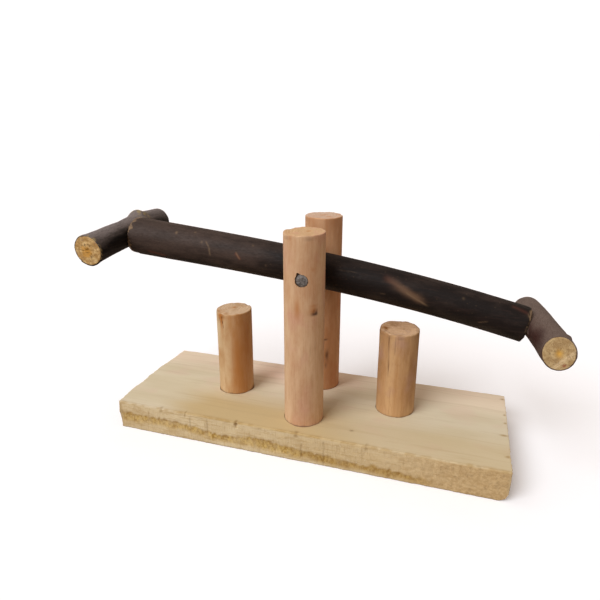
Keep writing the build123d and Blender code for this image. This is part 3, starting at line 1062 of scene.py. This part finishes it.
def make_right_peg():
    dowel(
        "right_peg", 401, slant=(-0.015, 0.045), grooves=0.085, pith=(1.7, 1.5), pith_size=0.5, dish=0.8,
        tones=((200, 160, 114), (176, 134, 92), (186, 148, 124), (156, 100, 44),
               (228, 188, 148), (196, 148, 102)),
        ring_shape=(0.2, 1, 0),
        stains=[((30, -128), (26, 2.2), 0.3), ((32, -85), (20, 0.9), 0.4), ((26, -66), (14, 2.0), 0.35),
                ((40, -38), (9, 2.4), 0.25)],
        cracks=[((53.0, -113), (33.0, -109), 0.2, 0.6), ((52.8, -92), (44, -93), 0.15, 0.3),
                ((53.0, -150), (46, -152), 0.18, 0.4)],
        rim_chips=[(-165, 24, 0.35), (-112, 6, 0.4), (-80, 8, 0.2), (100, 20, 0.25)],
        browns=[(-6.0, -0.5, 2.6, 1.0), (-5.0, -4.8, 1.8, 0.9), (-3.0, 4.5, 2.2, 0.6), (1.0, -7.0, 1.2, 0.6)],
    )


# ---------------- beam

# Marks on the beam. Angle 0 is its top, and 90 its front. Lines are (first, last, width, amount), and spots
# are (place, size, amount)
SCAR = ((31.0, 48), (49.5, 100))
# The scar's edge line is pale torn bark and a painted highlight where that edge catches the light
SCAR_EDGE = ((40.5, 79), (51.0, 105), 0.5, 0.5)
SCRATCHES = (((31.0, 104), (33.4, 100), 0.25, 0.2), ((-50.2, 55), (-47.8, 73), 0.35, 0.35),
             ((-47.9, 72), (-46.8, 98), 0.35, 0.4), ((71, 112), (74.5, 98), 0.22, 0.3),
             ((12, 60), (20, 56), 0.2, 0.12), ((-34.8, 72), (-32.2, 93), 0.3, 0.45))
PALE_SPOTS = (((-65.7, 44), (0.6, 0.7), 0.5), ((-52.0, 60), (0.5, 0.6), 0.35), ((-57, 30), (0.5, 0.5), 0.3),
              ((-28, 40), (0.5, 0.5), 0.25), ((-20, 95), (0.4, 0.5), 0.2), ((63, 50), (0.5, 0.6), 0.2),
              ((87.6, 40), (0.3, 0.9), 0.3))
RED_STREAKS = (((-80, 122), (-70, 131), 0.7, 0.45), ((-35.0, 74), (-32.0, 92), 0.6, 0.5),
               ((81, 24), (88, 36), 0.8, 0.22))
KNOTS = (((-24, 205), (3.0, 2.4), 0.5), ((66, -60), (2.6, 2.2), 0.45), ((-70, -80), (2.8, 2.4), 0.5))


def make_beam_core():
    depth = beam_bark + BARK_GAP

    def radius_of(at):
        return 0 * at.angle

    def lift_of(end, angle, out):
        at = disc(angle, out)
        ridges = 0.10 * rough(at, (5, 0.7, 1), 501 + end) + 0.12 * rough(at, (3, 3, 1), 503 + end)
        return -(0.1 + ridges) if end else 0.14 + ridges

    made = log("beam_wood", beam, HIDDEN_STEP, depth, radius_of, lift_of)
    cut(made, BORE, *[bar.nail.hole(*BEAM_NAIL_GAPS) for bar in (left_bar, right_bar)])
    at, out = beam.locate(points_of(made))
    capped = beam.near_ends(at.distance, 1.0, 2.0)
    bored = smooth(0.5, 1.5, beam.radius(at.distance) - depth - out)
    # dark is painted shade inside the pivot bore
    paint(made, pith=bell(out, 1.3) * capped, dark=0.8 * bored * (1 - capped))
    finish = cut_finish("beam_wood", left_bar.butt, (186, 154, 108), (164, 128, 84), (176, 130, 70))
    finish_piece(made, "beam", "stick_wood", finish, "beam_core")


def torn_rim(distance, angle, seed, reach, sweep):
    """1 where bark is torn back at the start of a stick, as far as reach and between two angles."""
    edge = reach * (0.55 + 0.6 * rough(disc(angle, RIM_NOISE_RADIUS), (0.8, 0.8, 1), seed))
    turn = np.degrees(angle) % 360
    inside = smooth(sweep[0] - 15, sweep[0] + 15, turn) * smooth(sweep[1] + 15, sweep[1] - 15, turn)
    return smooth(edge + 0.3, edge - 0.3, distance) * inside


def beam_marks(at):
    """The scar, the scratches and the torn rims of the beam's bark, each from 0 to 1."""
    scar = at.line(*SCAR, 1.5 + 0.5 * at.noise((1.5, 1.5, 4), 511))
    left = torn_rim(at.distance, at.angle + math.radians(60), 512, 2.7, (-20, 235))
    right = 0.8 * torn_rim(beam.length - at.distance, at.angle + math.radians(30), 513, 0.9, (0, 120))
    return scar, most(*at.lines(SCRATCHES)), most(left, right)


def make_beam_bark():
    def inside_of(at):
        return -beam_bark

    def radius_of(at):
        scar, scratch, torn = beam_marks(at)
        out = 0.07 * at.noise((7, 7, 26), 521) + 0.035 * at.rough((1.1, 1.1, 14), 522)
        out = out + 0.02 * at.rough((0.7, 0.7, 0.9), 523) - 0.03
        return out - 0.22 * scar - 0.08 * scratch - 0.3 * torn + at.spots(KNOTS)

    def lift_of(end, angle, out):
        at = disc(angle, RIM_NOISE_RADIUS)
        ragged = 0.16 + 0.16 * rough(at, (0.7, 0.7, 1), 525 + end)
        ragged = ragged + 0.1 * rough(at, (0.22, 0.22, 1), 527 + end)
        return -ragged if end else ragged

    made = sleeve("beam_bark_skin", beam, inside_of, radius_of, lift_of)
    cut(made, BORE)
    at, out = beam.locate(points_of(made))
    scar, scratch, torn = beam_marks(at)
    x, turn = at.row, np.degrees(at.angle)
    # left_tone and right_tone lighten the bark on its upper side, a painted sheen from the light above; the
    # base 0.12 and the noise are the bark's own tone
    left_tone = 0.12 + 0.68 * smooth(20, -70, x) * smooth(150, 40, np.abs(turn - 30))
    right_tone = 0.25 * smooth(20, 60, x) * smooth(88, 70, x) * smooth(70, 20, np.abs(turn))
    fibres = 0.85 * torn * smooth(-0.8, 0.2, at.noise((0.5, 0.5, 2), 529))
    # scar_light: pale torn fibres in the scar, and its edge line, partly a painted highlight
    scar_light = [0.38 * scar * smooth(28, 44, x), *at.lines([SCAR_EDGE])]
    paint(made, tone=most(left_tone, right_tone) + 0.1 * at.noise((5, 5, 20), 528),
          torn=most(fibres, at.spots(PALE_SPOTS), scratch, *scar_light),
          red=np.clip(sum(at.lines(RED_STREAKS)) + 0.25 * scar, 0, 0.9),
          # dark is painted shade on the inside of the bark
          dark=0.7 * smooth(0.45, 0.65, beam.radius(at.distance) - out))
    finish = bark_finish("beam_bark", 0, (27, 21, 19), (74, 60, 53), (56, 39, 33), (142, 116, 88))
    finish_piece(made, "beam", "bark", finish, "beam_bark")


# ---------------- crossbars

# How much thinner a crossbar's bark is at its front cut
THIN_RIM = 0.45
# Depth and half-width of the block that shaves a crossbar flat against the beam
FLAT_BLOCK = (30.0, 9.0)
# How far the left crossbar's top stands out at places along y: a waist, and then a knot
WAIST_Y = (-28, -18, -2, 8, 12, 22)
WAIST = (0.0, -0.95, -1.5, -0.7, 0.1, -0.2)


def crossbar(bar, seed, knots, wood_tones, bark_tones, core_marks, bark_marks, swell, slants, flare=0.0):
    """Wood and bark of one crossbar, both shaved flat where the beam's cut end butts against it.

    slants are how far back the front and the rear end are cut: at the centre, and for each millimetre up
    and to the right. swell(places) adds to its radius, and flare to its bark's at the front.
    """
    stick, side = bar.stick, bar.side
    depth = bar.bark + BARK_GAP

    def slanted(end, angle, out):
        middle, up, right = slants[end]
        return middle + out * (up * np.cos(angle) + right * np.sin(angle))

    def core_radius(at):
        return np.minimum(swell(at), 0) + THIN_RIM * smooth(4.0, 0.0, at.distance)

    def bark_inside(at):
        return core_radius(at) - bar.bark

    def bark_radius(at):
        out = 0.10 * at.noise((6, 6, 18), seed) + 0.04 * at.rough((1.1, 1.1, 9), seed + 1)
        out = out + 0.02 * at.rough((0.6, 0.6, 0.8), seed + 2) + swell(at)
        return out + flare * smooth(3.0, 0.5, at.distance) + at.spots(knots)

    def cut_lift(end, angle, out):
        at = disc(angle, out)
        rise = 0.09 * rough(at, (0.8, 5, 1), seed + 3 + end) + 0.10 * rough(at, (2.4, 2.4, 1), seed + 5 + end)
        rise = rise - 0.35 * bell(out, 1.1)
        return slanted(end, angle, out) + (rise if end else -rise)

    def rim_lift(end, angle, out):
        at = disc(angle, RIM_NOISE_RADIUS)
        ragged = 0.08 + 0.14 * rough(at, (0.9, 0.9, 1), seed + 7 + end)
        ragged = ragged + 0.07 * rough(at, (0.25, 0.25, 1), seed + 9)
        return slanted(end, angle, out) + (-ragged if end else ragged)

    wood = log(f"{side}_crossbar_wood", stick, STICK_STEP * 2, depth, core_radius, cut_lift)
    skin = sleeve(f"{side}_crossbar_bark_skin", stick, bark_inside, bark_radius, rim_lift)
    for made in (wood, skin):
        cut(made, slab(bar.butt, -bar.outwards, *FLAT_BLOCK))
        cut(made, bar.nail.hole(*BAR_NAIL_GAPS))
    at, out = stick.locate(points_of(wood))
    capped = stick.near_ends(at.distance, 1.6, 2.4)
    paint(wood, **core_marks(at, disc(at.angle, out, at.distance), out, capped))
    paint(skin, **bark_marks(stick.locate(points_of(skin))[0]))
    wood_finish = cut_finish(f"{side}_crossbar_wood", stick.start, *wood_tones)
    finish_piece(wood, "beam", "stick_wood", wood_finish, f"{side}_crossbar_core")
    finish = bark_finish(f"{side}_crossbar_bark", 1, *bark_tones)
    finish_piece(skin, "beam", "bark", finish, f"{side}_crossbar_bark")


def make_left_crossbar():
    def core_marks(at, inner, out, capped):
        soft = np.hypot(inner[..., 0] + 0.5, inner[..., 1] + 0.9)
        porous = smooth(3.7, 1.8, soft + 0.9 * rough(inner, (1.2, 1.2, 3), 611)) * capped
        holes = smooth(0.45, 0.8, rough(inner, (0.8, 0.8, 3), 612)) * smooth(5.5, 3.0, out) * capped
        chips = smooth(0.5, 1.0, rough(inner, (1.6, 1.6, 3), 613)) * smooth(3.5, 5.0, out) * capped
        return dict(pith=0.75 * porous, dark=0.62 * holes + 0.2 * chips, red=0.3 * chips, pale=0.35 * chips)

    def bark_marks(at):
        turn = np.degrees(at.angle)
        # upper lightens the bark along the top, a painted highlight band; dark on the inner and lower side is
        # painted shade
        upper = smooth(110, 30, np.abs(turn + 18))
        knot = at.spots((((11.0, 0), (3.2, 4.6), 1), ((12.5, 22), (2.2, 3.0), 1)))
        torn = np.clip(knot, 0, 1) * smooth(-0.4, 0.5, at.rough((1.2, 1.2, 1.4), 615))
        rim = smooth(1.3, 0.3, at.distance) * smooth(-0.2, 0.6, at.noise(0.8, 616))
        return dict(tone=0.02 + 0.86 * upper + 0.15 * smooth(14, 22, at.row), torn=0.75 * most(torn, rim),
                    red=0.2 * rim, dark=0.35 * smooth(60, 110, turn) * smooth(200, 150, turn))

    def swell(at):
        return 0.1 + np.interp(at.row, WAIST_Y, WAIST) * bell(at.turn(-35), 75) - 0.2 * bell(at.turn(165), 60)

    crossbar(
        left_bar, 600,
        (((11.4, -8), (2.6, 4.2), 1.3), ((12.6, 15), (2.0, 2.8), 0.45), ((4, -60), (2.5, 2.5), 0.4)),
        ((226, 194, 136), (188, 146, 86), (206, 148, 54)),
        ((20, 17, 16), (122, 112, 109), (70, 58, 52), (150, 132, 92)),
        core_marks, bark_marks, swell, slants=((0.0, -0.03, 0.0), (0.3, 0.12, 0.0)), flare=0.2,
    )


def make_right_crossbar():
    def core_marks(at, inner, out, capped):
        across = inner[..., 0] * -0.77 + inner[..., 1] * 0.64
        stripe = most(bell(across - 2.5, 0.24), bell(across - 3.2, 0.16)) * smooth(-4, 0.0, inner[..., 1])
        fan = np.stack([8 * at.angle, out / 3, 0 * out], -1)
        rays = smooth(0.6, 1.0, rough(fan, (1.2, 1, 1), 661)) * smooth(5, 2, out)
        chip = blot(inner[..., 0], inner[..., 1], (-3.9, 1.9), (0.45, 0.7))
        specks = smooth(0.45, 0.9, rough(inner, (0.8, 0.8, 3), 662))
        return dict(pith=bell(out, 1.25) * capped, pale=0.8 * stripe * capped, red=0.9 * chip * capped,
                    dark=(0.3 * rays + 0.45 * specks) * capped)

    def bark_marks(at):
        purple = most(at.spot((-18, -80), (8, 4.6)), at.spot((-8, -95), (8, 5)))
        purple = np.clip(purple * smooth(-0.9, 0.3, at.rough((3, 3, 6), 671)), 0, 1)
        rim = smooth(0.7, 0.2, at.distance)
        # tone is lower on the sides and underside: painted shade
        return dict(tone=0.95 - 0.8 * purple - 0.35 * smooth(60, 150, np.abs(np.degrees(at.angle))),
                    red=0.3 * most(rim, purple), dark=0.4 * most(rim, purple))

    def swell(at):
        waist = smooth(-26, -14, at.row) * smooth(8, -2, at.row) * bell(at.turn(-110), 45)
        return 0.05 - 0.4 * waist + 0.1 * smooth(-2, 22, at.row) * bell(at.turn(35), 60)

    crossbar(
        right_bar, 650, (((-22.4, 48), (1.1, 1.3), 0.5), ((-14, 62), (1.4, 1.0), 0.2)),
        ((196, 170, 124), (166, 136, 92), (206, 158, 72)),
        ((48, 36, 36), (104, 88, 79), (84, 68, 60), (140, 114, 90)),
        core_marks, bark_marks, swell, slants=((0.1, 0.24, 0.05), (0.0, 0.0, 0.0)),
    )


# ---------------- nails

def make_pivot_nail():
    """Wire nail with a hammered head, gripping rings under it and a square-cut point."""
    head, shank, thick = pivot.head_radius, pivot.shank_radius, pivot.head_thickness
    profile = [(0.16 * (k / 14) ** 4, head * k / 14) for k in range(1, 14)]
    profile += [(0.22, head - 0.03), (0.42, head), (thick - 0.15, head), (thick, head - 0.12)]
    profile.append((thick + 0.02, shank + 0.1))
    point = 3 * shank
    for depth in np.arange(thick + 0.3, pivot.length - point, 0.5):
        grip = 0.06 * (depth < 8) * math.cos(2 * math.pi * depth)
        profile.append((depth, shank - 0.05 + grip))
    profile += [(pivot.length - point * (1 - k / 8), (shank - 0.05) * (1 - k / 8) + 0.05) for k in range(9)]
    points, faces = turned(pivot.head, pivot.along, profile, 64)
    depth = (points - pivot.head) @ pivot.along
    flat = smooth(thick, 0.2, depth)
    dents = 0.10 * rough(points, (1.3, 9, 1.3), 701) + 0.05 * rough(points, (0.5, 9, 0.5), 702) + 0.12
    points += (flat * np.clip(dents, 0, 0.4))[:, None] * pivot.along
    out = points - pivot.head - depth[:, None] * pivot.along
    points += out * (flat * 0.03 * noise(points, (1.0, 9, 1.0), 703))[:, None]
    finish_piece(make_object("pivot_nail_steel", points, faces), "stand", "steel", STEEL, "pivot_nail")


def finish_small_nails():
    """The thin nails keep their CAD meshes."""
    for node in ("crossbar_nails", "foot_nails"):
        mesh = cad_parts[node].data
        mesh.materials.clear()
        mesh.materials.append(STEEL)


STEEL = steel_finish()
make_board()
make_front_post()
make_rear_post()
make_left_peg()
make_right_peg()
make_beam_core()
make_beam_bark()
make_left_crossbar()
make_right_crossbar()
make_pivot_nail()
finish_small_nails()


# ---------------- floor, light and camera

def direction(azimuth, elevation):
    """Unit vector towards a place seen at an azimuth from the front and at a height."""
    a, e = math.radians(azimuth), math.radians(elevation)
    return np.array([math.sin(a) * math.cos(e), -math.cos(a) * math.cos(e), math.sin(e)])


def stand_object(name, data, backwards):
    """Adds a lamp or a camera that looks away from a direction."""
    made = bpy.data.objects.new(name, data)
    made.rotation_mode = "QUATERNION"
    made.rotation_quaternion = Vector(-backwards).to_track_quat("-Z", "Y")
    bpy.context.scene.collection.objects.link(made)
    return made


def make_floor():
    corners_xy = ((-1, -1), (1, -1), (1, 1), (-1, 1))
    points = np.array([[x * FLOOR_REACH, y * FLOOR_REACH, 0.0] for x, y in corners_xy])
    floor = make_object("floor", points, [[0, 1, 2, 3]])
    finish = Finish("floor")
    seen = finish.mix(finish.noise(90, 2), (246, 246, 248), (250, 250, 252))
    camera_ray = finish.add("LightPath", {}, "Is Camera Ray")
    colour = finish.mix(camera_ray, FLOOR_BOUNCE, seen)
    finish.feed(finish.shader.inputs["Emission Color"], seen)
    finish.feed(finish.shader.inputs["Emission Strength"], finish.calc("MULTIPLY", camera_ray, FLOOR_GLOW))
    floor.data.materials.append(finish.done(colour, 0.9, finish.noise(1), 0.02))


def make_sun(name, azimuth, elevation, spread, strength):
    sun = bpy.data.lights.new(name, "SUN")
    sun.color = SUN_COLOUR
    sun.energy = strength
    sun.angle = math.radians(spread)
    stand_object(name, sun, direction(azimuth, elevation))


def make_sky():
    world = bpy.data.worlds.new("studio")
    world.use_nodes = True
    nodes, links = world.node_tree.nodes, world.node_tree.links
    sky = nodes["Background"]
    path = nodes.new("ShaderNodeLightPath")
    strength = nodes.new("ShaderNodeMapRange")
    links.new(path.outputs["Is Camera Ray"], strength.inputs["Value"])
    strength.inputs["To Min"].default_value = SKY_STRENGTH
    strength.inputs["To Max"].default_value = SEEN_SKY_STRENGTH
    links.new(strength.outputs["Result"], sky.inputs["Strength"])
    sky.inputs["Color"].default_value = SKY_TINT
    bpy.context.scene.world = world


def make_camera():
    lens = bpy.data.cameras.new("camera")
    lens.lens = CAMERA_LENS
    lens.clip_start = 0.01
    towards = direction(CAMERA_AZIMUTH, CAMERA_ELEVATION)
    camera = stand_object("camera", lens, towards)
    camera.location = (CAMERA_AIM + towards * CAMERA_DISTANCE) * MM
    bpy.context.scene.camera = camera


make_floor()
make_sun("key_sun", *KEY_SUN)
make_sun("side_sun", *SIDE_SUN)
make_sky()
make_camera()
bpy.context.scene.view_settings.view_transform = "Standard"
